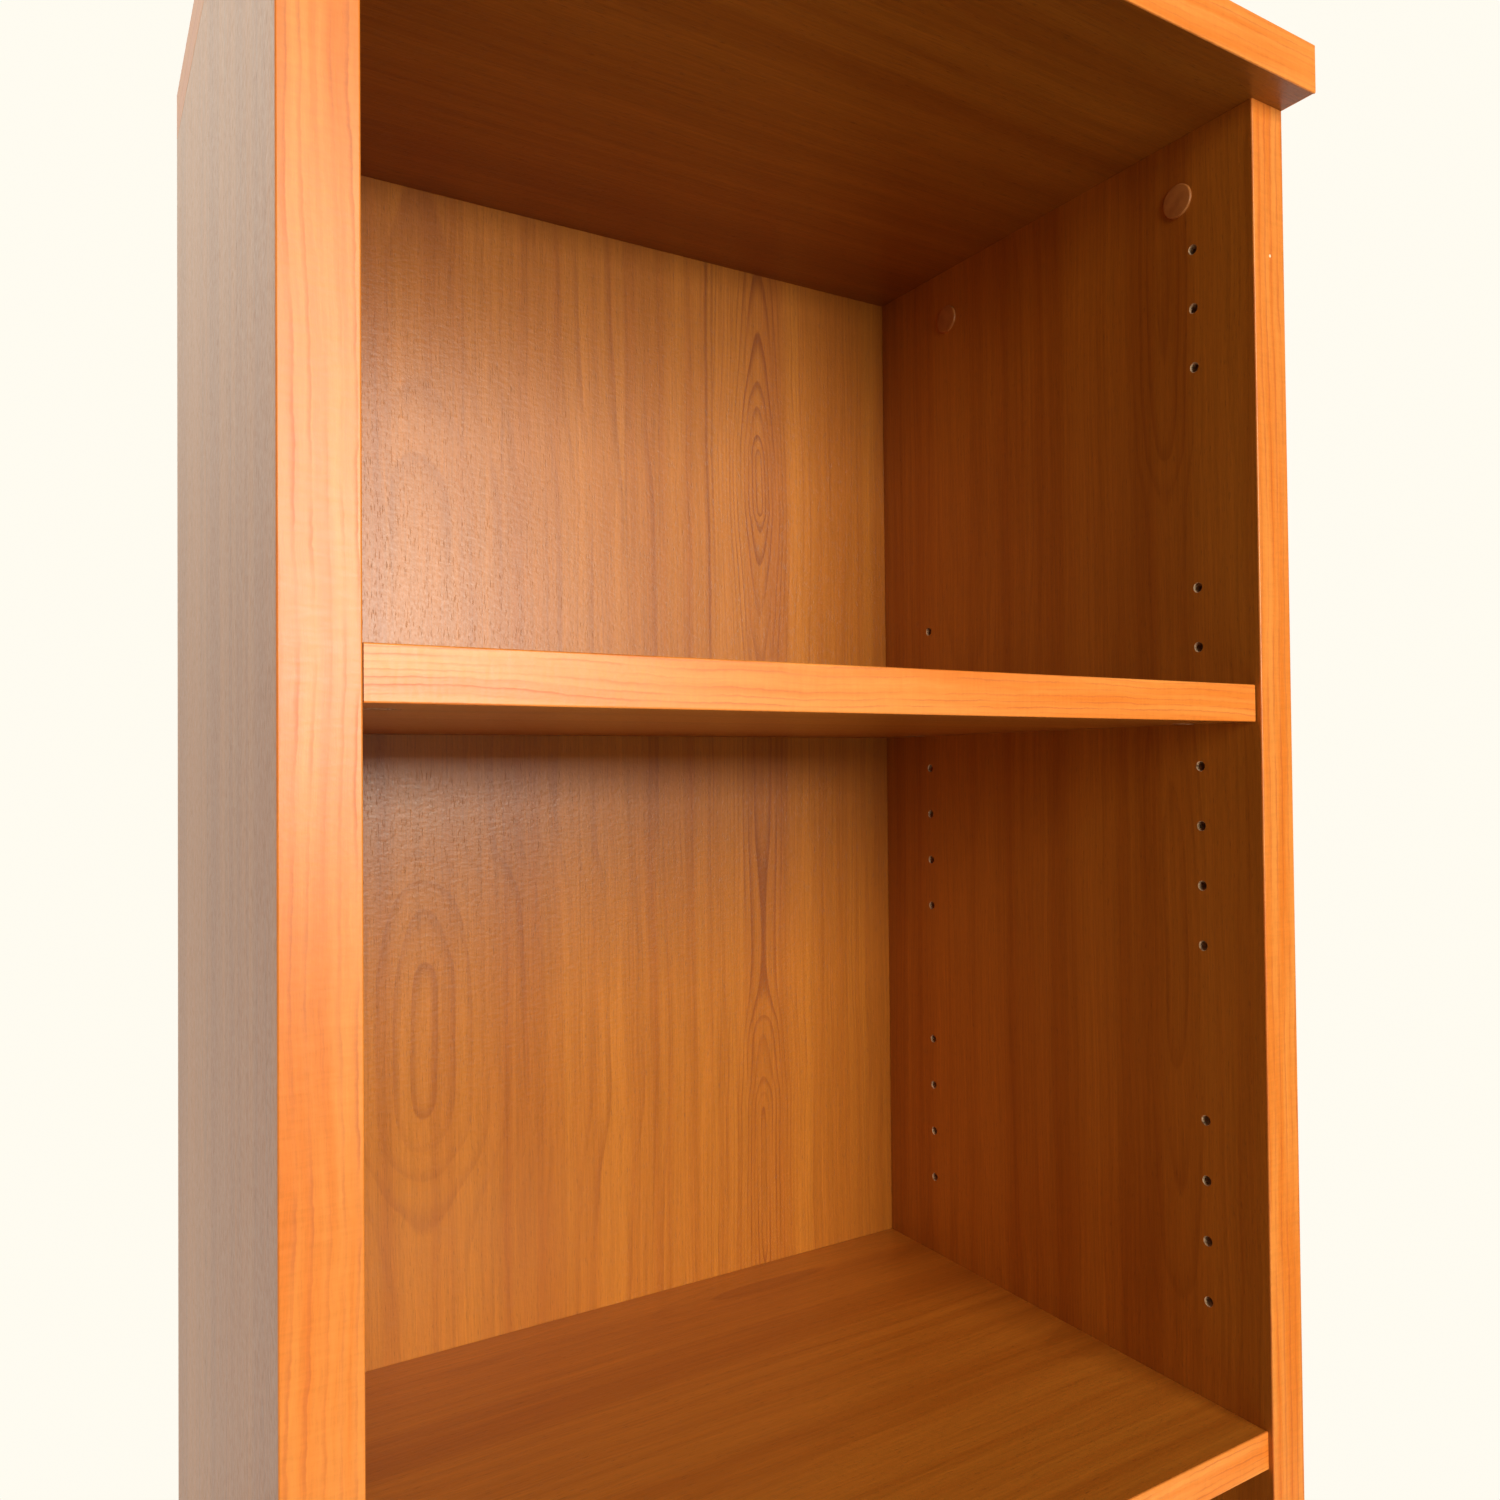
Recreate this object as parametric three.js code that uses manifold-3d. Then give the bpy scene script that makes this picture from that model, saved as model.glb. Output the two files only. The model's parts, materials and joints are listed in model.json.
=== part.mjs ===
// A tall bookcase with adjustable shelves, built from laminated boards with banded edges. Cam joints hold
// the top board and the two fixed shelves, the back panel and the kick plate sit in grooves, and the
// three loose shelves hide the pins that they rest on. Millimetres, +Z up, the front faces -Y, the floor
// is at Z = 0, and the origin is under the middle of the whole bookcase.

import * as THREE from "three";
import { mergeVertices } from "three/addons/utils/BufferGeometryUtils.js";
import Module from "manifold-3d";

const wasm = await Module();
wasm.setup();

// ---- Driving dimensions ----

const HEIGHT = 1830;
const INNER_WIDTH = 444;
const SIDE_THICKNESS = 25;
const SIDE_DEPTH = 320;
const TOP_THICKNESS = 25;
const TOP_OVERHANG = 19; // how far the top stands out in front of the sides
const SHELF_THICKNESS = 19;
const SHELF_RECESS = 3; // how far every shelf's front sits behind the sides' front
const LOOSE_SHELF_END_GAP = 0.9;
const LOOSE_SHELF_BACK_GAP = 2;
const UPPER_BAY_HEIGHT = 680; // top board's underside to the fixed shelf's upper face
const BAND_THICKNESS = 1;

const KICK_HEIGHT = 57;
const KICK_THICKNESS = 16;
const KICK_SETBACK = 25;
const KICK_HOUSING = 6; // how far each end of the kick plate enters its side

const BACK_SETBACK = 308; // sides' front to the back panel's front face
const BACK_THICKNESS = 5;
const BACK_TONGUE = 8; // how far the back panel enters its grooves
const FIT_CLEARANCE = 0.5; // spare depth or width of every groove and cam bore

// Rows of pin holes, 32 mm apart, measured down from the ceiling of each bay. The first group of each
// bay is drilled in the front column only.
const HOLE_PITCH = 32;
const HOLE_DIAMETER = 5;
const HOLE_DEPTH = 12;
const FRONT_COLUMN = 37; // sides' front to the front column of holes
const REAR_COLUMN = 259;
const UPPER_GROUPS = [
  { first: 64, count: 3, columns: [FRONT_COLUMN] },
  { first: 247, count: 7, columns: [FRONT_COLUMN, REAR_COLUMN] },
  { first: 532, count: 4, columns: [FRONT_COLUMN, REAR_COLUMN] },
];
const LOWER_GROUPS = [
  { first: 64, count: 3, columns: [FRONT_COLUMN] },
  { first: 247, count: 7, columns: [FRONT_COLUMN, REAR_COLUMN] },
  { first: 599, count: 7, columns: [FRONT_COLUMN, REAR_COLUMN] },
  { first: 884, count: 4, columns: [FRONT_COLUMN, REAR_COLUMN] },
];

const PIN_RADIUS = 2.42;
const PIN_LENGTH = 18;
const PIN_INSERTION = 9.5;
const SLOT_WIDTH = 6; // slots in the shelves' ends that drop over the pins
const SLOT_LENGTH = 20;

const CAM_COLUMNS = [46, 236]; // sides' front to each pair of cams
const CAM_DISTANCE = 34; // joint face to the cam's axis
const CAM_BORE = 15;
const CAM_RADIUS = 7.2;
const CAM_SINK = 0.3; // how far a cam's face sits below the board's face
const CAM_BEYOND_BOLT = 3; // cam's length past the bolt's axis
const BOLT_BORE = 8;
const PILOT_BORE = 5.4;
const PILOT_DEPTH = 12;
const CAP_RADIUS = 9;
const CAP_HEIGHT = 1.5;
const PEG_RADIUS = 1.8;
const PEG_LENGTH = 3;

const SMALL_FACETS = 8; // flats on holes and bolts
const PIN_FACETS = 10;
const ROUND_FACETS = 16; // flats on cams, their bores and caps

const CUT_LEAD = 1; // how far a cutter starts outside the face that it enters

// ---- Levels and faces worked out from them ----

const INNER_X = INNER_WIDTH / 2;
const OUTER_X = INNER_X + SIDE_THICKNESS;
const SIDE_TOP = HEIGHT - TOP_THICKNESS;
const FIXED_TOP = SIDE_TOP - UPPER_BAY_HEIGHT;
const FIXED_UNDERSIDE = FIXED_TOP - SHELF_THICKNESS;
const REAR = (TOP_OVERHANG + SIDE_DEPTH) / 2;
const TOP_FRONT = -REAR;
const SIDE_FRONT = TOP_FRONT + TOP_OVERHANG;
const SHELF_FRONT = SIDE_FRONT + SHELF_RECESS;
const BACK_FRONT = SIDE_FRONT + BACK_SETBACK;
const GROOVE_REAR = BACK_FRONT + BACK_THICKNESS + FIT_CLEARANCE;

const LEFT_AND_RIGHT = [
  { side: "left", sign: -1 },
  { side: "right", sign: 1 },
];
const FRONT_AND_REAR = ["front", "rear"];

// The loose shelves, each at the height of the hole row that its pins stand in.
const LOOSE_SHELVES = [
  { name: "upper_shelf", row: SIDE_TOP - rowDepth(UPPER_GROUPS[1], 2) },
  { name: "middle_shelf", row: FIXED_UNDERSIDE - rowDepth(LOWER_GROUPS[1], 3) },
  { name: "lower_shelf", row: FIXED_UNDERSIDE - rowDepth(LOWER_GROUPS[2], 3) },
];

// ---- Finishes ----

const LAMINATE = { color: 0xa85c22, roughness: 0.45, metalness: 0 };
const EDGE_BAND = { color: 0xe0853c, roughness: 0.4, metalness: 0 };
const STEEL = { color: 0xb9bcc0, roughness: 0.3, metalness: 1 };
const CAST_ZINC = { color: 0x9a9da0, roughness: 0.5, metalness: 1 };
const CAP_PLASTIC = { color: 0x8a4a1c, roughness: 0.4, metalness: 0 };

// ---- Solids: geometry for shapes, manifold-3d for cuts and joins ----

function toSolid(geometry) {
  geometry.deleteAttribute("normal");
  geometry.deleteAttribute("uv");
  const merged = mergeVertices(geometry);
  return new wasm.Manifold(
    new wasm.Mesh({
      numProp: 3,
      vertProperties: merged.attributes.position.array,
      triVerts: new Uint32Array(merged.index.array),
    }),
  );
}

function toGeometry(solid) {
  const { vertProperties, triVerts } = solid.getMesh();
  const geometry = new THREE.BufferGeometry();
  geometry.setAttribute("position", new THREE.BufferAttribute(vertProperties, 3));
  geometry.setIndex(new THREE.BufferAttribute(triVerts, 1));
  geometry.computeVertexNormals();
  return geometry;
}

function cut(blank, cutters) {
  const solid = cutters.reduce((rest, cutter) => rest.subtract(toSolid(cutter)), toSolid(blank));
  return toGeometry(solid);
}

// A block from its low and high limits along X, Y and Z.
function block(...limits) {
  const size = limits.map(([low, high]) => high - low);
  const centre = limits.map(([low, high]) => (low + high) / 2);
  return new THREE.BoxGeometry(...size).translate(...centre);
}

// The limits between two distances from the middle plane, on the side that the sign names.
function mirrored(sign, near, far) {
  return sign > 0 ? [near, far] : [-far, -near];
}

// A round cutter that enters at the mouth and runs along a direction, as wide across its flats as the drill.
function drill(diameter, depth, mouth, direction, facets) {
  const radius = diameter / 2 / Math.cos(Math.PI / facets);
  const length = depth + CUT_LEAD;
  const turn = new THREE.Quaternion().setFromUnitVectors(new THREE.Vector3(0, 1, 0), direction);
  const centre = mouth.clone().addScaledVector(direction, depth - length / 2);
  return new THREE.CylinderGeometry(radius, radius, length, facets)
    .applyQuaternion(turn)
    .translate(...centre);
}

// A turned piece about Y from its profile, given as pairs of radius and height.
function turned(profile, facets) {
  const points = profile.map(([radius, height]) => new THREE.Vector2(radius, height));
  return new THREE.LatheGeometry(points, facets);
}

function piece(name, geometry, finish) {
  const mesh = new THREE.Mesh(geometry, new THREE.MeshStandardMaterial(finish));
  mesh.name = name;
  return mesh;
}

// ---- Pin holes ----

function rowDepth(group, index) {
  return group.first + index * HOLE_PITCH;
}

function pinHoles(sign, ceiling, groups) {
  const outward = new THREE.Vector3(sign, 0, 0);
  const holes = [];
  for (const group of groups) {
    for (let index = 0; index < group.count; index += 1) {
      for (const column of group.columns) {
        const z = ceiling - rowDepth(group, index);
        const mouth = new THREE.Vector3(sign * INNER_X, SIDE_FRONT + column, z);
        holes.push(drill(HOLE_DIAMETER, HOLE_DEPTH, mouth, outward, SMALL_FACETS));
      }
    }
  }
  return holes;
}

// ---- Cam joints ----

// A cam joint has a bolt screwed into one board and a cam in the other. Its point is where the bolt's
// axis crosses the face between the boards, and the bolt's axis lies boltDepth below the cam's face.
function topJoints({ side, sign }) {
  return CAM_COLUMNS.map((column, index) => ({
    place: `${FRONT_AND_REAR[index]}_${side}`,
    point: new THREE.Vector3(sign * (INNER_X + SIDE_THICKNESS / 2), SIDE_FRONT + column, SIDE_TOP),
    towardCam: new THREE.Vector3(0, 0, -1),
    intoBoard: new THREE.Vector3(sign, 0, 0),
    boltDepth: SIDE_THICKNESS / 2,
  }));
}

function shelfJoints({ side, sign }, underside) {
  return CAM_COLUMNS.map((column, index) => ({
    place: `${FRONT_AND_REAR[index]}_${side}`,
    point: new THREE.Vector3(sign * INNER_X, SIDE_FRONT + column, underside + SHELF_THICKNESS / 2),
    towardCam: new THREE.Vector3(-sign, 0, 0),
    intoBoard: new THREE.Vector3(0, 0, 1),
    boltDepth: SHELF_THICKNESS / 2,
  }));
}

function camFace({ point, towardCam, intoBoard, boltDepth }) {
  return point
    .clone()
    .addScaledVector(towardCam, CAM_DISTANCE)
    .addScaledVector(intoBoard, -boltDepth);
}

function camBores(joint) {
  const boreDepth = joint.boltDepth + CAM_BEYOND_BOLT + FIT_CLEARANCE;
  return [
    drill(CAM_BORE, boreDepth, camFace(joint), joint.intoBoard, ROUND_FACETS),
    drill(BOLT_BORE, CAM_DISTANCE, joint.point, joint.towardCam, SMALL_FACETS),
  ];
}

function pilotBore(joint) {
  return drill(PILOT_BORE, PILOT_DEPTH, joint.point, joint.towardCam.clone().negate(), SMALL_FACETS);
}

// The drum turns about Z with its driven face at Z = 0. The bolt lies along X, its head held in a pocket
// behind a quarter-turn slot that lets its neck swing in. A cross for the driver and a socket for the
// cap's peg are sunk in the driven face.
function camGeometry(boltDepth) {
  const axis = boltDepth - CAM_SINK;
  const length = axis + CAM_BEYOND_BOLT;
  const pocket = [-4, 4];
  const neckHalf = 2.5;
  const neckSlot = [-neckHalf, CAM_RADIUS + CUT_LEAD];
  const crossArm = [-0.7, 0.7];
  const crossDepth = [-CUT_LEAD, 2];
  const socketDiameter = 2 * PEG_RADIUS + 0.8;
  const socketDepth = PEG_LENGTH + 0.6;
  const inward = new THREE.Vector3(0, 0, 1);
  const drum = new THREE.CylinderGeometry(CAM_RADIUS, CAM_RADIUS, length, ROUND_FACETS)
    .rotateX(Math.PI / 2)
    .translate(0, 0, length / 2);
  return cut(drum, [
    block(pocket, pocket, [axis + pocket[0], axis + pocket[1]]),
    block(neckSlot, neckSlot, [axis - neckHalf, axis + neckHalf]),
    block(pocket, crossArm, crossDepth),
    block(crossArm, pocket, crossDepth),
    drill(socketDiameter, socketDepth, new THREE.Vector3(), inward, SMALL_FACETS),
  ]);
}

// The bolt stands on Y, with the joint face at Y = 0, its thread below it and its head at the cam.
function boltGeometry() {
  const threadTip = 0.5 - PILOT_DEPTH;
  const thread = { crest: 2.5, root: 1.9 };
  const shank = { radius: 3, start: 0.3, end: CAM_DISTANCE - 9 };
  const neckRadius = 2;
  const head = { radius: 3.4, start: CAM_DISTANCE - 2, end: CAM_DISTANCE + 2 };
  const crests = [-9, -5].flatMap((height) => [
    [thread.crest, height],
    [thread.root, height + 2],
  ]);
  const profile = [
    [0, threadTip],
    [thread.root, threadTip],
    ...crests,
    [thread.crest, shank.start],
    [shank.radius, shank.start],
    [shank.radius, shank.end],
    [neckRadius, shank.end + 1],
    [neckRadius, head.start],
    [head.radius, head.start],
    [head.radius, head.end],
    [0, head.end],
  ];
  return turned(profile, SMALL_FACETS);
}

// The cap stands on Y, with its flat seat at Y = 0, its rounded rim above and its peg below.
function capGeometry() {
  const rim = 0.6;
  const profile = [
    [0, -PEG_LENGTH],
    [PEG_RADIUS, -PEG_LENGTH],
    [PEG_RADIUS, 0],
    [CAP_RADIUS, 0],
    [CAP_RADIUS, CAP_HEIGHT - rim],
    [CAP_RADIUS - rim, CAP_HEIGHT],
    [0, CAP_HEIGHT],
  ];
  return turned(profile, ROUND_FACETS);
}

function cam(name, joint) {
  const { towardCam, intoBoard, boltDepth } = joint;
  const towardBolt = towardCam.clone().negate();
  const across = intoBoard.clone().cross(towardBolt);
  const mesh = piece(name, camGeometry(boltDepth), CAST_ZINC);
  mesh.setRotationFromMatrix(new THREE.Matrix4().makeBasis(towardBolt, across, intoBoard));
  mesh.position.copy(camFace(joint)).addScaledVector(intoBoard, CAM_SINK);
  return mesh;
}

function camBolt(name, { point, towardCam }) {
  const mesh = piece(name, boltGeometry(), STEEL);
  mesh.quaternion.setFromUnitVectors(new THREE.Vector3(0, 1, 0), towardCam);
  mesh.position.copy(point);
  return mesh;
}

function camCap(name, joint) {
  const mesh = piece(name, capGeometry(), CAP_PLASTIC);
  mesh.quaternion.setFromUnitVectors(new THREE.Vector3(0, 1, 0), joint.intoBoard.clone().negate());
  mesh.position.copy(camFace(joint));
  return mesh;
}

function camFittings(boardName, joints) {
  return joints.flatMap((joint) => [
    cam(`${boardName}_cam_${joint.place}`, joint),
    camBolt(`${boardName}_cam_bolt_${joint.place}`, joint),
  ]);
}

// ---- Carcass ----

function sideBoard(end) {
  const { side, sign } = end;
  const boardZ = [0, SIDE_TOP];
  const blank = block(mirrored(sign, INNER_X, OUTER_X), [SIDE_FRONT + BAND_THICKNESS, REAR], boardZ);
  const backGroove = block(
    mirrored(sign, INNER_X - CUT_LEAD, INNER_X + BACK_TONGUE + FIT_CLEARANCE),
    [BACK_FRONT, GROOVE_REAR],
    [-CUT_LEAD, SIDE_TOP + CUT_LEAD],
  );
  const kickFront = SIDE_FRONT + KICK_SETBACK;
  const kickGroove = block(
    mirrored(sign, INNER_X - CUT_LEAD, INNER_X + KICK_HOUSING + FIT_CLEARANCE),
    [kickFront, kickFront + KICK_THICKNESS],
    [-CUT_LEAD, KICK_HEIGHT],
  );
  const geometry = cut(blank, [
    backGroove,
    kickGroove,
    ...pinHoles(sign, SIDE_TOP, UPPER_GROUPS),
    ...pinHoles(sign, FIXED_UNDERSIDE, LOWER_GROUPS),
    ...topJoints(end).flatMap(camBores),
    ...shelfJoints(end, FIXED_UNDERSIDE).map(pilotBore),
    ...shelfJoints(end, KICK_HEIGHT).map(pilotBore),
  ]);
  const band = block(
    mirrored(sign, INNER_X, OUTER_X),
    [SIDE_FRONT, SIDE_FRONT + BAND_THICKNESS],
    boardZ,
  );
  return [
    piece(`${side}_side`, geometry, LAMINATE),
    piece(`${side}_side_edge_band`, band, EDGE_BAND),
  ];
}

function topBoard() {
  const boardZ = [SIDE_TOP, HEIGHT];
  const boardX = OUTER_X - BAND_THICKNESS;
  const boardY = [TOP_FRONT + BAND_THICKNESS, REAR];
  const grooveX = INNER_X + BACK_TONGUE + FIT_CLEARANCE;
  const backGroove = block(
    [-grooveX, grooveX],
    [BACK_FRONT, GROOVE_REAR],
    [SIDE_TOP - CUT_LEAD, SIDE_TOP + BACK_TONGUE + FIT_CLEARANCE],
  );
  const geometry = cut(block([-boardX, boardX], boardY, boardZ), [
    backGroove,
    ...LEFT_AND_RIGHT.flatMap(topJoints).map(pilotBore),
  ]);
  const frontBand = block([-OUTER_X, OUTER_X], [TOP_FRONT, TOP_FRONT + BAND_THICKNESS], boardZ);
  const endBands = LEFT_AND_RIGHT.map(({ side, sign }) =>
    piece(
      `top_board_${side}_edge_band`,
      block(mirrored(sign, boardX, OUTER_X), boardY, boardZ),
      EDGE_BAND,
    ),
  );
  return [
    piece("top_board", geometry, LAMINATE),
    piece("top_board_front_edge_band", frontBand, EDGE_BAND),
    ...endBands,
  ];
}

function fixedShelf(name, underside) {
  const boardX = [-INNER_X, INNER_X];
  const boardZ = [underside, underside + SHELF_THICKNESS];
  const joints = LEFT_AND_RIGHT.flatMap((end) => shelfJoints(end, underside));
  const blank = block(boardX, [SHELF_FRONT + BAND_THICKNESS, BACK_FRONT], boardZ);
  const band = block(boardX, [SHELF_FRONT, SHELF_FRONT + BAND_THICKNESS], boardZ);
  return [
    piece(name, cut(blank, joints.flatMap(camBores)), LAMINATE),
    piece(`${name}_edge_band`, band, EDGE_BAND),
    ...camFittings(name, joints),
  ];
}

function topFittings() {
  const joints = LEFT_AND_RIGHT.flatMap(topJoints);
  const caps = joints.map((joint) => camCap(`top_board_cam_cap_${joint.place}`, joint));
  return [...camFittings("top_board", joints), ...caps];
}

function backPanel() {
  const halfWidth = INNER_X + BACK_TONGUE;
  return piece(
    "back_panel",
    block(
      [-halfWidth, halfWidth],
      [BACK_FRONT, BACK_FRONT + BACK_THICKNESS],
      [KICK_HEIGHT, SIDE_TOP + BACK_TONGUE],
    ),
    LAMINATE,
  );
}

function kickPlate() {
  const halfWidth = INNER_X + KICK_HOUSING;
  const front = SIDE_FRONT + KICK_SETBACK;
  return piece(
    "kick_plate",
    block([-halfWidth, halfWidth], [front, front + KICK_THICKNESS], [0, KICK_HEIGHT]),
    LAMINATE,
  );
}

// ---- Loose shelves and their pins ----

// A shelf's own frame has its middle height at Z = 0, which is the pins' height when it rests on them.
function looseShelf({ name, row }) {
  const halfWidth = INNER_X - LOOSE_SHELF_END_GAP;
  const boardX = [-halfWidth, halfWidth];
  const boardZ = [-SHELF_THICKNESS / 2, SHELF_THICKNESS / 2];
  const boardY = [SHELF_FRONT + BAND_THICKNESS, BACK_FRONT - LOOSE_SHELF_BACK_GAP];
  const band = block(boardX, [SHELF_FRONT, SHELF_FRONT + BAND_THICKNESS], boardZ);
  const shelf = new THREE.Group();
  shelf.position.z = row;
  shelf.add(piece(name, cut(block(boardX, boardY, boardZ), pinSlots(halfWidth)), LAMINATE));
  shelf.add(piece(`${name}_edge_band`, band, EDGE_BAND));
  return shelf;
}

// Each slot is open at the shelf's end and underside, and its round inner end is a router bit's.
function pinSlots(halfWidth) {
  const roof = HOLE_DIAMETER / 2;
  const depth = SHELF_THICKNESS / 2 + roof;
  const up = new THREE.Vector3(0, 0, 1);
  const roundEnd = halfWidth - SLOT_LENGTH + SLOT_WIDTH / 2;
  return LEFT_AND_RIGHT.flatMap(({ sign }) =>
    [FRONT_COLUMN, REAR_COLUMN].flatMap((column) => {
      const y = SIDE_FRONT + column;
      const mouth = new THREE.Vector3(sign * roundEnd, y, -SHELF_THICKNESS / 2);
      return [
        drill(SLOT_WIDTH, depth, mouth, up, SMALL_FACETS),
        block(
          mirrored(sign, roundEnd, halfWidth + CUT_LEAD),
          [y - SLOT_WIDTH / 2, y + SLOT_WIDTH / 2],
          [-SHELF_THICKNESS / 2 - CUT_LEAD, roof],
        ),
      ];
    }),
  );
}

function pinGeometry() {
  const half = PIN_LENGTH / 2;
  const chamfer = 0.5;
  return turned(
    [
      [0, -half],
      [PIN_RADIUS - chamfer, -half],
      [PIN_RADIUS, chamfer - half],
      [PIN_RADIUS, half - chamfer],
      [PIN_RADIUS - chamfer, half],
      [0, half],
    ],
    PIN_FACETS,
  );
}

function shelfPins({ name, row }) {
  const centreX = INNER_X + PIN_INSERTION - PIN_LENGTH / 2;
  return LEFT_AND_RIGHT.flatMap(({ side, sign }) =>
    [FRONT_COLUMN, REAR_COLUMN].map((column, index) => {
      const pin = piece(`${name}_pin_${FRONT_AND_REAR[index]}_${side}`, pinGeometry(), STEEL);
      pin.rotation.z = Math.PI / 2;
      pin.position.set(sign * centreX, SIDE_FRONT + column, row);
      return pin;
    }),
  );
}

// ---- The bookcase ----

const carcass = new THREE.Group();
carcass.add(
  ...LEFT_AND_RIGHT.flatMap(sideBoard),
  ...topBoard(),
  ...fixedShelf("fixed_shelf", FIXED_UNDERSIDE),
  ...fixedShelf("bottom_shelf", KICK_HEIGHT),
  ...topFittings(),
  backPanel(),
  kickPlate(),
);

const bookcase = new THREE.Group();
bookcase.add(carcass, ...LOOSE_SHELVES.map(looseShelf), ...LOOSE_SHELVES.flatMap(shelfPins));

export default bookcase;
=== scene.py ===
"""Looks for the tall bookcase with adjustable shelves.

Every board is rebuilt on its CAD solid's box with eased corners, round holes and bare particle board in
its cuts, and gets wood-grain laminate worked out from its own coordinates. Edge bands, shelf pins, cams
and cover caps are modelled piece by piece. Metres throughout, in the CAD frame: +Z up, the open front
faces -Y, and the floor is at Z = 0.
"""

import json
import math

import bmesh
import bpy
from mathutils import Matrix, Vector

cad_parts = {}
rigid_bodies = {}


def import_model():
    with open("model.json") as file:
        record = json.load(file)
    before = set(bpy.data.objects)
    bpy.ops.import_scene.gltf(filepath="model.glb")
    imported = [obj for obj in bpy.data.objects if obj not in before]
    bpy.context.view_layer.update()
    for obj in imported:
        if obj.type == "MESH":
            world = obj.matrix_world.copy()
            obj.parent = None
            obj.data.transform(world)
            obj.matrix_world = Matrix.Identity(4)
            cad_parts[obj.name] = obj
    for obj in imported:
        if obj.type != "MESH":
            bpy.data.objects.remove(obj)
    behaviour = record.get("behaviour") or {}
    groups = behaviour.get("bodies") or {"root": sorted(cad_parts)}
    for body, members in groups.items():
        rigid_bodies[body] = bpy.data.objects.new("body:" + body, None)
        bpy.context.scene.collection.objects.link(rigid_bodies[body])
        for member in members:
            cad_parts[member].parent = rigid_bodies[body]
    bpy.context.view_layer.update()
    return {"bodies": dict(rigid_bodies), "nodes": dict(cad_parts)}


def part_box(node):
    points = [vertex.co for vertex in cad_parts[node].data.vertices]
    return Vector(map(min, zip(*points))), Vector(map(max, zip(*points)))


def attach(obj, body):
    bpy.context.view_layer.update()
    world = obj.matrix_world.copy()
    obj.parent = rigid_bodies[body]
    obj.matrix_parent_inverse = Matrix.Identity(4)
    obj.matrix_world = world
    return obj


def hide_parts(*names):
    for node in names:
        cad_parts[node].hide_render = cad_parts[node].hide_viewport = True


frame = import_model()

MM = 0.001
AXES = "XYZ"

# ---- Sizes of the fine detail, in metres ----

ARRIS = 0.3 * MM  # eased corners of the boards
BAND_ROUNDING = 0.7 * MM  # outer corners of the edge bands
HOLE_FLARE = 0.25 * MM  # how far a drilled hole widens at its mouth
GROOVE_FLARE = 0.35 * MM
SLOT_WIDTH = 6 * MM
ROUND_SIDES = 40  # sides of drilled holes and turned pieces


# ---- Materials: node graphs written as sums ----


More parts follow.
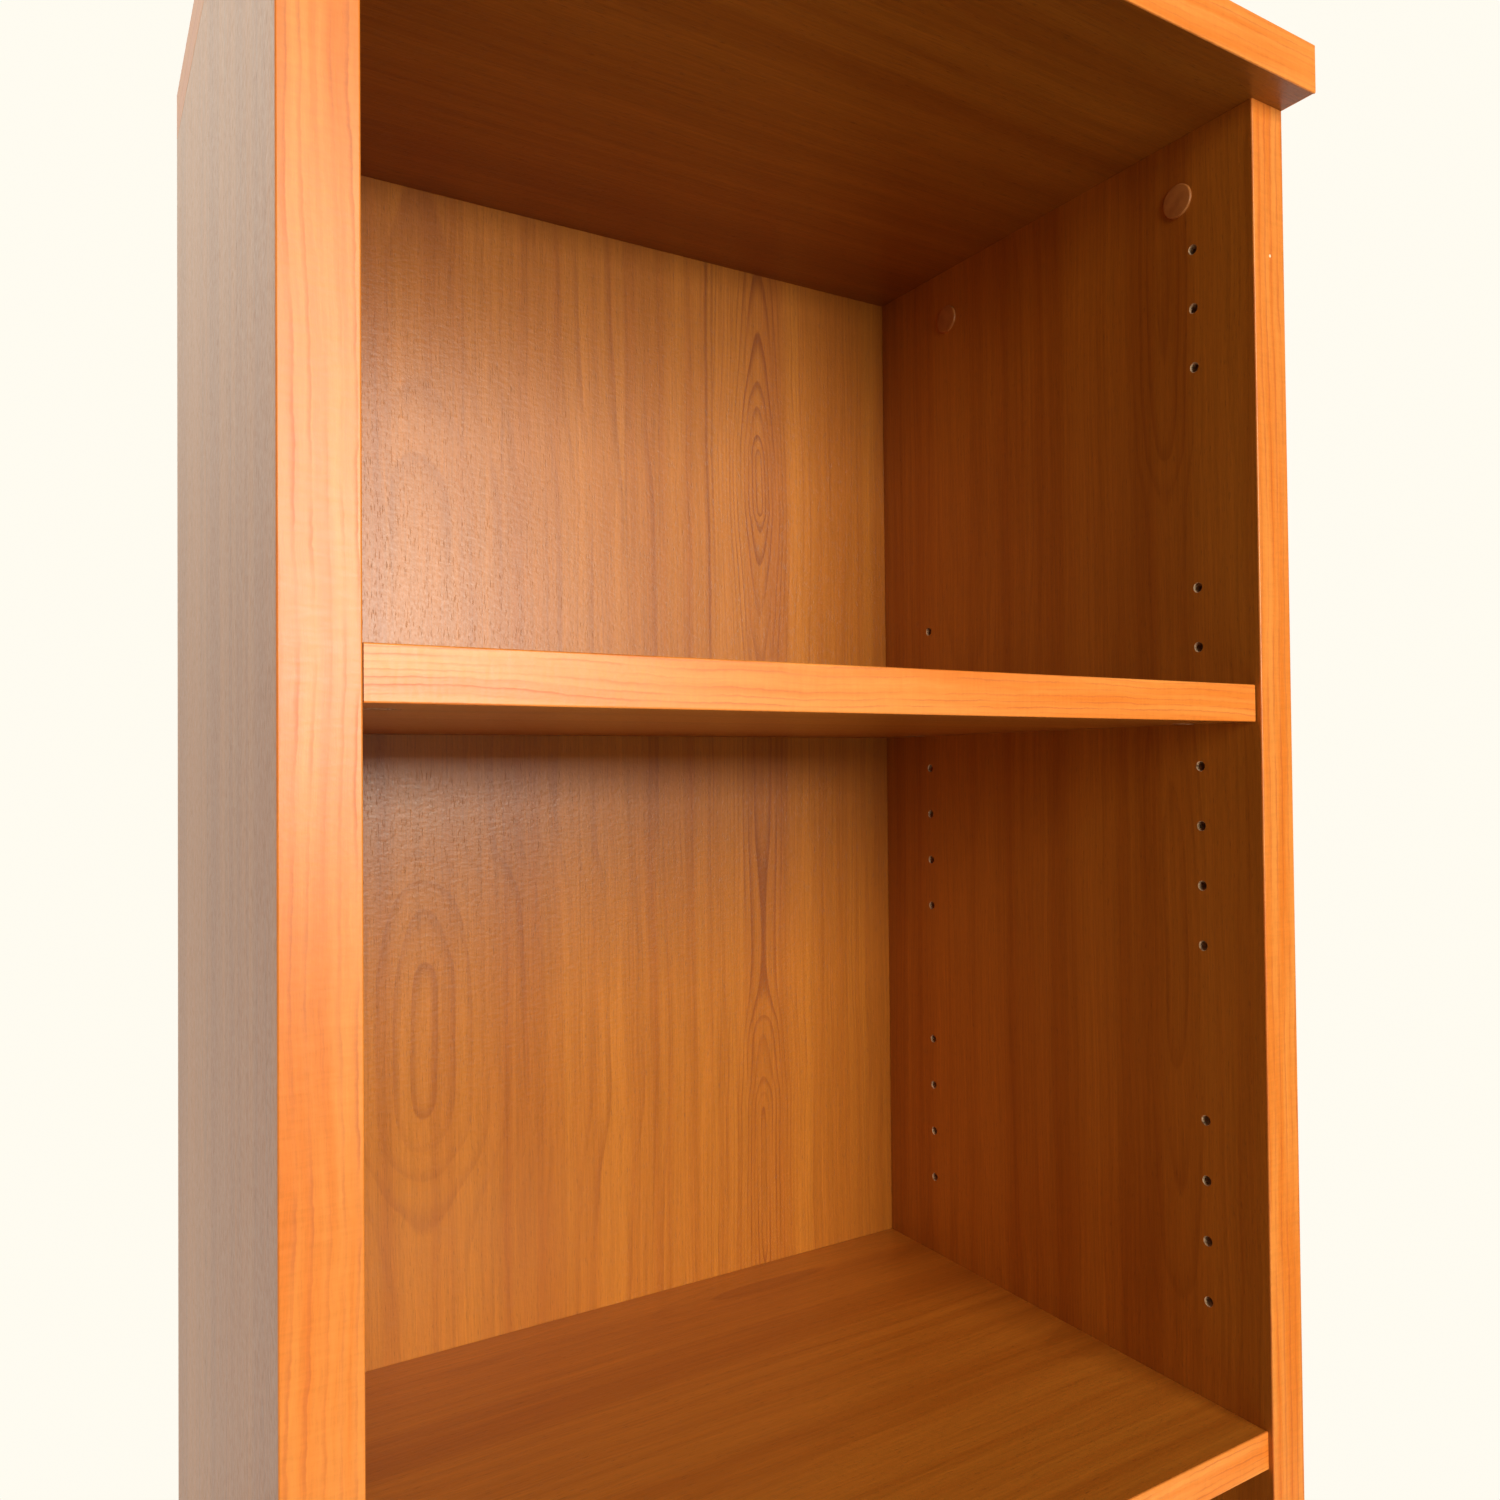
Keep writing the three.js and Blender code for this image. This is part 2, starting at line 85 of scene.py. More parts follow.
class Shader:
    """One material, with short names for the nodes it needs."""

    def __init__(self, name):
        self.material = bpy.data.materials.new(name)
        self.material.use_nodes = True
        self.tree = self.material.node_tree
        self.surface = self.tree.nodes["Principled BSDF"]
        coordinates = self.node("ShaderNodeTexCoord").outputs["Object"]
        split = self.node("ShaderNodeSeparateXYZ", {0: coordinates})
        self.place = {axis: self.times(split.outputs[axis], 1 / MM) for axis in AXES}

    def node(self, kind, inputs=(), **settings):
        node = self.tree.nodes.new(kind)
        for key, value in settings.items():
            setattr(node, key, value)
        for key, value in dict(inputs).items():
            self.feed(node.inputs[key], value)
        return node

    def feed(self, socket, value):
        if isinstance(value, bpy.types.NodeSocket):
            self.tree.links.new(value, socket)
        else:
            socket.default_value = value

    def math(self, operation, *values):
        inputs = dict(enumerate(values))
        return self.node("ShaderNodeMath", inputs, operation=operation).outputs[0]

    def plus(self, first, *others):
        for other in others:
            first = self.math("ADD", first, other)
        return first

    def minus(self, a, b):
        return self.math("SUBTRACT", a, b)

    def times(self, first, *others):
        for other in others:
            first = self.math("MULTIPLY", first, other)
        return first

    def ramp(self, value, low, high, out_low=0.0, out_high=1.0, smooth=True):
        """The value, moved from one range to another and held inside it."""
        kind = "SMOOTHSTEP" if smooth else "LINEAR"
        inputs = {0: value, 1: low, 2: high, 3: out_low, 4: out_high}
        return self.node("ShaderNodeMapRange", inputs, interpolation_type=kind).outputs[0]

    def vector(self, x, y, z):
        return self.node("ShaderNodeCombineXYZ", {0: x, 1: y, 2: z}).outputs[0]

    def noise(self, place, lengths, detail=2.0, roughness=0.5, seed=0.0):
        """Noise from 0 to 1 whose features are about as long as the lengths, in millimetres."""
        scaled = [self.times(value, 1 / length) for value, length in zip(place, lengths)]
        scaled[2] = self.plus(scaled[2], seed)
        inputs = {"Vector": self.vector(*scaled), "Scale": 1.0, "Detail": detail, "Roughness": roughness}
        return self.node("ShaderNodeTexNoise", inputs).outputs["Fac"]

    def swing(self, place, lengths, reach, **options):
        """Noise centred on nought, reaching about that far either way."""
        return self.times(self.minus(self.noise(place, lengths, **options), 0.5), 2 * reach)

    def mix(self, factor, a, b):
        inputs = {"Factor": factor, 6: a, 7: b}
        return self.node("ShaderNodeMix", inputs, data_type="RGBA").outputs[2]

    def shade(self, colour, factor):
        """A colour made darker or brighter all round."""
        inputs = {0: colour, "Scale": factor}
        return self.node("ShaderNodeVectorMath", inputs, operation="SCALE").outputs[0]

    def random(self, value):
        return self.node("ShaderNodeTexWhiteNoise", {"W": value}, noise_dimensions="1D").outputs["Value"]

    def curve(self, value, points, reach):
        """A smooth curve through pairs of place and height. Reach is more than its greatest height."""
        first, last = points[0][0], points[-1][0]
        node = self.node("ShaderNodeFloatCurve")
        stops = node.mapping.curves[0].points
        for _ in points[2:]:
            stops.new(0.5, 0.5)
        for stop, (place, height) in zip(stops, points):
            stop.location = ((place - first) / (last - first), height / reach)
            stop.handle_type = "AUTO_CLAMPED"
        node.mapping.update()
        self.feed(node.inputs["Value"], self.ramp(value, first, last, smooth=False))
        return self.times(node.outputs[0], reach)

    def finish(self, colour, roughness, height=None, relief=0.1, strength=1.0, **fixed):
        """Links the surface. The relief is the height in millimetres that stands for 1."""
        self.feed(self.surface.inputs["Base Color"], colour)
        self.feed(self.surface.inputs["Roughness"], roughness)
        for socket, value in fixed.items():
            self.surface.inputs[socket.replace("_", " ")].default_value = value
        if height is not None:
            inputs = {"Height": height, "Distance": relief * MM, "Strength": strength}
            bump = self.node("ShaderNodeBump", inputs)
            self.feed(self.surface.inputs["Normal"], bump.outputs[0])
        return self.material


def rgb(red, green, blue):
    return (red, green, blue, 1.0)


# Linear colours of the printed wood.
GOLDEN = rgb(0.50, 0.168, 0.016)
RUSSET = rgb(0.40, 0.118, 0.010)
GRAIN_LINE = rgb(0.22, 0.048, 0.005)
BAND_LIGHT = rgb(0.80, 0.270, 0.045)
BAND_DEEP = rgb(0.73, 0.190, 0.018)
BAND_LINE = rgb(0.48, 0.090, 0.010)
WORN = rgb(0.90, 0.72, 0.48)

# The print and its satin face. Lengths are in millimetres.
HEART_REACH = (13.0, 34.0)  # rings fade between these distances from their heart
FADED = 0.1  # how strongly the rings are printed past that
LINE_STRENGTH = 0.8
FINE_PITCH = 2.7  # between the fine lines that fill the rest of a board
LAMINATE_ROUGHNESS = 0.3
BAND_ROUGHNESS = 0.36


def third_axis(first, second):
    return next(axis for axis in AXES if axis not in (first, second))


def laminate(name, across, along, hearts, seed, figure=0.5, tint=1.0, bold=()):
    """Printed cherry wood grain with a fine emboss.

    The grain follows one field whose whole values are year rings. Each heart is where the saw passed
    nearest the pith: its place across the board, its ring spacing, and its profile, the ring met at
    places along the board. A dip in the profile draws nested ovals and a slope draws arches. Figure is
    how strongly the rings are printed. The factor that scales the whole board's colour is painted light
    and shade: below 1 it paints shade over the whole board, above 1 it paints light, standing in for
    lighting the lamps don't give rather than a different print. A bold line has its place across the
    board, its half width, its strength, and where along the board it starts.
    """
    s = Shader(name)
    u, v, w = (s.place[axis] for axis in (across, along, third_axis(across, along)))
    face = s.times(w, 0.4)
    place = (u, v, face)

    wander = s.plus(
        s.swing(place, (150, 700, 9), 7.0, detail=1.0, seed=seed),
        s.swing(place, (26, 110, 9), 2.2, detail=1.0, seed=seed + 3.1),
        s.swing(place, (7, 24, 9), 0.5, detail=2.0, seed=seed + 5.7),
    )
    u_bent = s.plus(u, wander)
    v_bent = s.plus(v, s.swing(place, (30, 90, 9), 9.0, detail=1.0, seed=seed + 8.3))

    rings, near = None, FADED
    for heart_u, spacing, profile in hearts:
        sideways = s.times(s.minus(u_bent, heart_u), 1 / spacing)
        reach = max(height for _, height in profile) + 0.5
        depth = s.curve(v_bent, profile, reach)
        squares = s.plus(s.times(sideways, sideways), s.times(depth, depth))
        ring = s.math("SQRT", squares)
        rings = ring if rings is None else s.math("SMOOTH_MIN", rings, ring, 0.6)
        strength = min(0.95, 5.2 / spacing)
        clear = s.ramp(s.times(ring, spacing), *HEART_REACH, strength, FADED)
        near = s.math("MAXIMUM", near, clear)
    rings = s.plus(rings, s.swing(place, (60, 600, 9), 0.45, detail=0.0, seed=seed + 11.9))

    number = s.math("FLOOR", rings)
    phase = s.minus(rings, number)
    chance = s.random(s.plus(number, seed))
    fading = s.noise((s.times(number, 37.0), v, face), (10, 140, 9), detail=1.0, seed=seed + 14.2)
    line = s.times(
        s.math("POWER", s.ramp(phase, 0.2, 0.9), 2.4),
        s.ramp(phase, 0.9, 1.0, 1.0, 0.0),
        s.math("MAXIMUM", near, s.ramp(chance, 0.0, 1.0, 0.05, 0.5)),
        s.ramp(fading, 0.35, 0.6, 0.25, 1.0),
        figure,
    )

    drift = s.swing(place, (9, 260, 9), 1.4, detail=1.0, seed=seed + 17.4)
    fine = s.plus(s.times(u_bent, 1 / FINE_PITCH), drift)
    fine_number = s.math("FLOOR", fine)
    fine_phase = s.minus(fine, fine_number)
    fine_line = s.times(
        s.math("POWER", fine_phase, 3.0),
        s.ramp(fine_phase, 0.85, 1.0, 1.0, 0.0),
        s.ramp(s.random(s.plus(fine_number, seed + 40.0)), 0.1, 1.0, 0.0, 0.45 * figure),
        s.ramp(rings, 2.0, 6.0),
    )
    lines = s.math("MAXIMUM", line, fine_line)
    for bold_u, width, depth, start in bold:
        distance = s.math("ABSOLUTE", s.minus(u_bent, bold_u))
        begun = s.ramp(v, start, start + 150.0, 0.0, depth)
        lines = s.math("MAXIMUM", lines, s.times(s.ramp(distance, 0.0, width, 1.0, 0.0), begun))

    straight = (s.plus(u, s.times(wander, 0.5)), v, face)
    broad = s.noise(straight, (34, 1500, 9), detail=1.0, seed=seed + 20.5)
    narrow = s.noise(straight, (9, 600, 9), detail=2.0, seed=seed + 23.8)
    tone = s.ramp(s.plus(s.times(broad, 0.55), s.times(narrow, 0.45)), 0.36, 0.64)

    streaks = s.noise((u_bent, v, face), (1.3, 75, 9), detail=3.0, roughness=0.6, seed=seed + 26.6)
    fibres = s.noise((u_bent, v, face), (0.45, 11, 9), detail=2.0, seed=seed + 29.9)
    pores = s.ramp(
        s.noise((u_bent, v, face), (0.55, 5.5, 9), detail=1.0, seed=seed + 33.3), 0.62, 0.74
    )

    colour = s.mix(tone, RUSSET, GOLDEN)
    colour = s.mix(s.times(lines, LINE_STRENGTH), colour, GRAIN_LINE)
    # The first term is painted light and shade: one factor that darkens or brightens the whole board.
    # The other terms vary the print's own tone.
    light = s.plus(
        tint,
        s.swing(straight, (120, 900, 9), 0.05, detail=1.0, seed=seed + 36.1),
        s.times(s.minus(streaks, 0.5), 0.5),
        s.times(s.minus(fibres, 0.5), 0.34),
        s.times(pores, -0.2),
    )
    colour = s.shade(colour, light)

    pebble = s.noise((u, v, face), (1.7, 2.3, 4), detail=2.0, roughness=0.55, seed=seed + 2.2)
    ripple = s.noise((u, v, face), (5.0, 2.6, 4), detail=1.0, seed=seed + 4.4)
    height = s.plus(s.times(pebble, 0.6), s.times(ripple, 0.7), s.times(pores, -0.35))
    roughness = s.plus(
        LAMINATE_ROUGHNESS,
        s.times(s.minus(pebble, 0.5), 0.16),
        s.times(streaks, 0.06),
        s.times(pores, 0.1),
    )
    return s.finish(colour, roughness, height, relief=0.1, strength=1.0, Specular_IOR_Level=0.5)


def edge_banding(name, across, along, seed, pitch=4.6, heart=-60.0, tint=1.0, nicks=()):
    """Thin plastic banding with a close, wavy grain along it and a faint curl across it.

    Each nick is a spot worn through to the pale backing: its place across and along, and its radius.
    """
    s = Shader(name)
    u, v, w = (s.place[axis] for axis in (across, along, third_axis(across, along)))
    place = (u, v, w)
    bend = s.plus(
        s.swing(place, (40, 130, 60), 5.0, detail=1.0, seed=seed),
        s.swing(place, (9, 16, 60), 0.8, detail=2.0, seed=seed + 2.3),
        s.swing(place, (3, 3.2, 60), 0.35, detail=1.0, seed=seed + 4.1),
    )
    lie = s.times(s.minus(s.plus(u, bend), heart), 1 / pitch)
    number = s.math("FLOOR", lie)
    phase = s.minus(lie, number)
    fading = s.noise((s.times(number, 23.0), v, w), (10, 34, 60), detail=2.0, seed=seed + 6.6)
    line = s.times(
        s.math("POWER", s.ramp(phase, 0.35, 0.9), 3.0),
        s.ramp(phase, 0.9, 1.0, 1.0, 0.0),
        s.ramp(s.random(s.plus(number, seed)), 0.0, 1.0, 0.35, 1.0),
        s.ramp(fading, 0.3, 0.6, 0.2, 1.0),
    )
    bent = (s.plus(u, bend), v, w)
    tone = s.ramp(s.noise(bent, (6, 160, 60), detail=2.0, seed=seed + 8.8), 0.3, 0.7)
    curl = s.noise(place, (9, 1.5, 60), detail=2.0, roughness=0.6, seed=seed + 10.1)
    fibres = s.noise(bent, (0.5, 9, 60), detail=2.0, seed=seed + 12.9)
    colour = s.mix(tone, BAND_DEEP, BAND_LIGHT)
    colour = s.mix(s.times(line, 0.55), colour, BAND_LINE)
    # The first term is painted light and shade: one factor that darkens or brightens the whole band.
    # Curl and fibres are the band's own tone.
    light = s.plus(tint, s.times(s.minus(curl, 0.5), 0.2), s.times(s.minus(fibres, 0.5), 0.24))
    colour = s.shade(colour, light)
    for nick_u, nick_v, radius in nicks:
        away = [s.minus(u, nick_u), s.minus(v, nick_v)]
        distance = s.math("SQRT", s.plus(*[s.times(step, step) for step in away]))
        ragged = s.plus(distance, s.swing(place, (0.8, 0.8, 60), 0.4, seed=nick_v))
        colour = s.mix(s.ramp(ragged, 0.7 * radius, radius, 1.0, 0.0), colour, WORN)
    pebble = s.noise(place, (1.6, 1.9, 3), detail=2.0, seed=seed + 1.7)
    height = s.plus(fibres, s.times(pebble, 1.2))
    roughness = s.plus(BAND_ROUGHNESS, s.times(s.minus(curl, 0.5), 0.12), s.times(line, 0.08))
    return s.finish(colour, roughness, height, relief=0.03, strength=0.8)


def particle_board():
    """Bare particle board: pressed flakes, coarse in the middle, with a few dark bits of bark."""
    s = Shader("particle_board")
    place = [s.place[axis] for axis in AXES]
    bent = [s.plus(value, s.swing(place, (3, 3, 3), 0.8, seed=k * 5.0)) for k, value in enumerate(place)]
    flakes = []
    for size, seed in ((3.2, 0.0), (1.3, 9.0)):
        vector = s.vector(*[s.times(value, 1 / size) for value in bent])
        inputs = {"Vector": vector, "Scale": 1.0, "Randomness": 1.0}
        flakes.append(s.node("ShaderNodeTexVoronoi", inputs))
    tone = s.node("ShaderNodeSeparateColor", {0: flakes[0].outputs["Color"]}).outputs[0]
    grit = s.node("ShaderNodeSeparateColor", {0: flakes[1].outputs["Color"]}).outputs[1]
    colour = s.mix(tone, rgb(0.58, 0.36, 0.19), rgb(0.86, 0.62, 0.38))
    colour = s.mix(s.ramp(grit, 0.86, 0.98), colour, rgb(0.26, 0.14, 0.07))
    gaps = s.ramp(flakes[0].outputs["Distance"], 0.35, 0.75)
    dust = s.noise(place, (0.5, 0.5, 0.5), detail=3.0, roughness=0.7)
    colour = s.shade(colour, s.plus(0.8, s.times(dust, 0.4), s.times(gaps, -0.22)))
    height = s.plus(s.times(gaps, -0.8), dust, s.times(grit, 0.3))
    roughness = s.plus(0.78, s.times(dust, 0.18))
    return s.finish(colour, roughness, height, relief=0.22, strength=0.9)


def hardboard():
    """The back panel's unfaced rear: matted brown fibres."""
    s = Shader("hardboard_rear")
    place = [s.place[axis] for axis in AXES]
    mat = s.noise(place, (2.4, 2.4, 2.4), detail=5.0, roughness=0.7, seed=1.0)
    weave = s.noise(place, (0.9, 3.5, 2.5), detail=3.0, roughness=0.6, seed=7.0)
    cloud = s.noise(place, (120, 120, 160), detail=2.0, seed=3.0)
    colour = s.mix(s.ramp(mat, 0.3, 0.7), rgb(0.17, 0.095, 0.05), rgb(0.30, 0.185, 0.10))
    colour = s.shade(colour, s.plus(0.78, s.times(cloud, 0.25), s.times(weave, 0.22)))
    return s.finish(colour, s.plus(0.7, s.times(mat, 0.2)), s.plus(mat, weave), relief=0.12)


def zinc_plate():
    """Bright zinc plate on steel, with the drawing marks of the wire along X."""
    s = Shader("zinc_plated_steel")
    place = [s.place[axis] for axis in AXES]
    drawn = s.noise(place, (9, 0.25, 0.25), detail=3.0, seed=2.0)
    bloom = s.noise(place, (1.6, 1.6, 1.6), detail=3.0, roughness=0.6, seed=5.0)
    colour = s.mix(bloom, rgb(0.52, 0.53, 0.52), rgb(0.74, 0.745, 0.72))
    roughness = s.plus(0.2, s.times(drawn, 0.18), s.times(bloom, 0.1))
    return s.finish(colour, roughness, drawn, relief=0.01, strength=0.6, Metallic=1.0)


def cast_zinc():
    """Die-cast zinc: dull grey, finely pitted, darker where it has oxidised."""
    s = Shader("die_cast_zinc")
    place = [s.place[axis] for axis in AXES]
    skin = s.noise(place, (0.35, 0.35, 0.35), detail=3.0, roughness=0.6)
    stain = s.noise(place, (3.5, 3.5, 3.5), detail=3.0, seed=4.0)
    colour = s.mix(s.ramp(stain, 0.3, 0.7), rgb(0.30, 0.30, 0.305), rgb(0.50, 0.50, 0.505))
    roughness = s.plus(0.42, s.times(skin, 0.16), s.times(stain, 0.1))
    return s.finish(colour, roughness, skin, relief=0.03, strength=0.7, Metallic=1.0)


def cap_plastic():
    """Brown moulded polythene with a spark-eroded satin face."""
    s = Shader("brown_cap_plastic")
    place = [s.place[axis] for axis in AXES]
    grain = s.noise(place, (0.4, 0.4, 0.4), detail=2.0, roughness=0.6)
    flow = s.noise(place, (6, 6, 6), detail=2.0, seed=8.0)
    colour = s.mix(s.ramp(flow, 0.3, 0.7), rgb(0.40, 0.135, 0.030), rgb(0.50, 0.185, 0.042))
    roughness = s.plus(0.34, s.times(grain, 0.14))
    return s.finish(colour, roughness, grain, relief=0.015, strength=0.7)


def floor_paint():
    s = Shader("pale_floor")
    place = [s.place[axis] for axis in AXES]
    cloud = s.noise(place, (420, 420, 420), detail=3.0)
    grit = s.noise(place, (2.2, 2.2, 2.2), detail=2.0, seed=6.0)
    colour = s.mix(cloud, rgb(0.64, 0.63, 0.60), rgb(0.70, 0.69, 0.66))
    roughness = s.plus(0.6, s.times(grit, 0.12))
    return s.finish(colour, roughness, grit, relief=0.05, strength=0.4)


# ---- Mesh pieces ----


def new_object(name, mesh, materials=()):
    piece = bpy.data.objects.new(name, mesh)
    bpy.context.scene.collection.objects.link(piece)
    for material in materials:
        mesh.materials.append(material)
    return piece


def smooth(piece, degrees=32):
    """Smooth shading up to an angle, with every flat face kept flat."""
    for polygon in piece.data.polygons:
        polygon.use_smooth = True
    piece.data.set_sharp_from_angle(angle=math.radians(degrees))
    weighting = piece.modifiers.new("weighted normals", "WEIGHTED_NORMAL")
    weighting.keep_sharp = True


def block(name, low, high, materials=(), face_material=None):
    """A box whose faces take the material slot that face_material gives for their normal."""
    bm = bmesh.new()
    bmesh.ops.create_cube(bm, size=1.0)
    low, high = Vector(low), Vector(high)
    bmesh.ops.scale(bm, vec=high - low, verts=bm.verts)
    bmesh.ops.translate(bm, vec=(low + high) / 2, verts=bm.verts)
    for face in bm.faces:
        face.material_index = face_material(face.normal) if face_material else 0
    mesh = bpy.data.meshes.new(name)
    bm.to_mesh(mesh)
    bm.free()
    return new_object(name, mesh, materials)


def ease(piece, radius, segments=2, chosen=lambda a, b: True):
    """Rounds the edges that chosen picks by their two ends."""
    bm = bmesh.new()
    bm.from_mesh(piece.data)
    edges = [edge for edge in bm.edges if chosen(*[vert.co for vert in edge.verts])]
    bmesh.ops.bevel(
        bm, geom=edges, offset=radius, segments=segments, profile=0.5, affect="EDGES", material=-1
    )
    bm.to_mesh(piece.data)
    bm.free()


def prism(bm, outline, axis, start, end, material=0):
    """Adds a closed prism: its outline lies in the plane across the axis, as pairs in cyclic order."""
    turn = AXES.index(axis)

    def point(a, b, along):
        values = [0.0, 0.0, 0.0]
        values[turn], values[(turn + 1) % 3], values[(turn + 2) % 3] = along, a, b
        return bm.verts.new(values)

    near = [point(a, b, start) for a, b in outline]
    far = [point(a, b, end) for a, b in outline]
    faces = [bm.faces.new(near[::-1]), bm.faces.new(far)]
    for k in range(len(outline)):
        nxt = (k + 1) % len(outline)
        faces.append(bm.faces.new((near[k], near[nxt], far[nxt], far[k])))
    for face in faces:
        face.material_index = material


def lathe(bm, profile, sides, place, material=0):
    """Adds a turned solid. Its profile is pairs of radius and height, from axis to axis."""
    rings = []
    for radius, height in profile:
        if radius == 0:
            rings.append([bm.verts.new(place @ Vector((0, 0, height)))])
            continue
        turns = (math.tau * k / sides for k in range(sides))
        circle = [Vector((radius * math.cos(t), radius * math.sin(t), height)) for t in turns]
        rings.append([bm.verts.new(place @ point) for point in circle])
    for lower, upper in zip(rings, rings[1:]):
        for k in range(sides):
            nxt = (k + 1) % sides
            below = [lower[k % len(lower)], lower[nxt % len(lower)]]
            above = [upper[nxt % len(upper)], upper[k % len(upper)]]
            corners = dict.fromkeys(below + above)
            bm.faces.new(list(corners)).material_index = material


def facing(origin, direction):
    """A place with its Z along a direction."""
    return Matrix.Translation(origin) @ Vector(direction).to_track_quat("Z", "Y").to_matrix().to_4x4()


def drill(bm, mouth, direction, radius, depth, flare=HOLE_FLARE, point=0.0, sides=ROUND_SIDES):
    """Adds a cutter for a drilled hole, a little wider at its mouth."""
    lead = 1 * MM
    flared = [(0, -lead), (radius + flare, -lead), (radius + flare, 0), (radius, flare)]
    profile = [*flared, (radius, depth), (0, depth + point)]
    lathe(bm, profile, sides, facing(mouth, direction))


def carve(piece, *cutters):
    """Cuts each cutter mesh out of the piece in turn. The cut faces keep the cutters' material."""
    for bm in cutters:
        bmesh.ops.recalc_face_normals(bm, faces=bm.faces)
        mesh = bpy.data.meshes.new("cutter")
        bm.to_mesh(mesh)
        bm.free()
        tool = new_object("cutter", mesh, [CORE])
        modifier = piece.modifiers.new("cut", "BOOLEAN")
        modifier.operation, modifier.solver, modifier.object = "DIFFERENCE", "EXACT", tool
        modifier.material_mode = "TRANSFER"
        graph = bpy.context.evaluated_depsgraph_get()
        cut = bpy.data.meshes.new_from_object(piece.evaluated_get(graph))
        piece.modifiers.clear()
        blank, piece.data = piece.data, cut
        cut.name = piece.name
        if len(cut.vertices) <= len(blank.vertices):
            raise RuntimeError(f"the cut in {piece.name} failed")
        bpy.data.meshes.remove(blank)
        bpy.data.objects.remove(tool)


def settle(piece, node_names, body):
    """Smooths a finished piece and hands it to the frame in place of its CAD nodes."""
    smooth(piece)
    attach(piece, body)
    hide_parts(*node_names)


# ---- Where the CAD has its holes ----


def corners_of(node):
    """The node's vertices, each place once."""
    points = {tuple(round(c, 6) for c in vert.co) for vert in frame["nodes"][node].data.vertices}
    return [Vector(point) for point in sorted(points)]


def holes_in(node, axis, level):
    """The round holes with their mouths in one plane of a node: mouth centre, drill radius and depth."""
    axis = AXES.index(axis)
    corners = corners_of(node)
    rim = [p for p in corners if abs(p[axis] - level) < 1e-5]
    groups = []
    link = 3.6 * MM
    while rim:
        group = [rim.pop()]
        for member in group:
            near = [p for p in rim if (p - member).length < link]
            rim = [p for p in rim if (p - member).length >= link]
            group.extend(near)
        groups.append(group)
    holes = []
    for group in groups:
        centre = sum(group, Vector()) / len(group)
        radii = [(p - centre).length for p in group]
        if len(group) < 8 or max(radii) - min(radii) > 0.05 * MM:
            continue
        radius = sum(radii) / len(radii)
        rim_point = group[0]
        straight_below = [
            abs(p[axis] - level)
            for p in corners
            if (p - rim_point).length - abs(p[axis] - level) < 1e-6 and abs(p[axis] - level) > 0.1 * MM
        ]
        holes.append((centre, radius * math.cos(math.pi / len(group)), min(straight_below)))
    return sorted(holes, key=lambda hole: tuple(hole[0]))


# ---- Finishes of each piece ----

CORE = particle_board()
HARDBOARD = hardboard()
STEEL = zinc_plate()
ZINC = cast_zinc()
CAP = cap_plastic()

FIXED_SHELVES = ("fixed_shelf", "bottom_shelf")
LOOSE_SHELVES = ("upper_shelf", "middle_shelf", "lower_shelf")
SIDE_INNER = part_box("right_side")[0].x
PANEL_LOW, PANEL_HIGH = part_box("back_panel")

BACK_HEARTS = [
    (
        -118.0,
        10.5,
        [
            (50, 4.2),
            (260, 5.2),
            (420, 3.1),
            (520, 0.4),
            (600, 2.6),
            (760, 4.4),
            (960, 5.0),
            (1120, 4.6),
            (1190, 4.0),
            (1222, 3.0),
            (1240, 2.0),
            (1257, 1.0),
            (1306, 0.05),
            (1355, 1.0),
            (1388, 2.0),
            (1404, 3.0),
            (1440, 4.0),
            (1500, 3.6),
            (1600, 3.3),
            (1656, 4.0),
            (1703, 5.0),
            (1830, 6.2),
        ],
    ),
    (
        112.0,
        2.9,
        [
            (50, 5.0),
            (330, 6.0),
            (480, 3.0),
            (560, 4.2),
            (640, 1.0),
            (700, 0.4),
            (760, 3.2),
            (900, 6.4),
            (1060, 6.0),
            (1105, 3.0),
            (1126, 1.0),
            (1160, 0.25),
            (1200, 0.3),
            (1230, 1.0),
            (1240, 2.0),
            (1252, 3.0),
            (1284, 4.0),
            (1297, 5.0),
            (1340, 5.8),
            (1443, 5.3),
            (1520, 5.0),
            (1569, 4.0),
            (1604, 3.0),
            (1636, 1.6),
            (1660, 0.1),
            (1686, 1.8),
            (1710, 3.0),
            (1735, 4.2),
            (1830, 6.4),
        ],
    ),
]
RIGHT_HEARTS = [
    (
        -94.0,
        5.4,
        [
            (0, 4.0),
            (300, 1.2),
            (520, 3.6),
            (800, 4.4),
            (960, 1.4),
            (1080, 4.4),
            (1196, 3.0),
            (1284, 2.0),
            (1360, 1.0),
            (1440, 1.7),
            (1520, 3.2),
            (1570, 3.4),
            (1636, 2.0),
            (1700, 1.1),
            (1810, 0.5),
        ],
    ),
    (70.0, 7.5, [(0, 2.0), (400, 5.0), (900, 3.0), (1300, 6.0), (1500, 5.0), (1690, 3.0), (1810, 4.4)]),
]
LEFT_HEARTS = [
    (40.0, 6.0, [(0, 5.0), (340, 2.0), (470, 0.3), (640, 3.0), (1100, 5.5), (1400, 2.0), (1810, 4.0)]),
    (-120.0, 4.5, [(0, 2.0), (500, 6.0), (900, 5.0), (1180, 1.0), (1330, 4.0), (1810, 6.0)]),
]


def shelf_hearts(offset):
    """A quiet sawn figure for a shelf, whose grain runs along X."""
    return [
        (-40.0 + offset, 6.5, [(-250, 5.0), (-120, 3.0), (20, 4.6), (150, 6.0), (250, 4.0)]),
        (120.0 + offset, 4.4, [(-250, 3.0), (-60, 6.0), (90, 3.6), (250, 6.2)]),
    ]


# ---- Boards ----


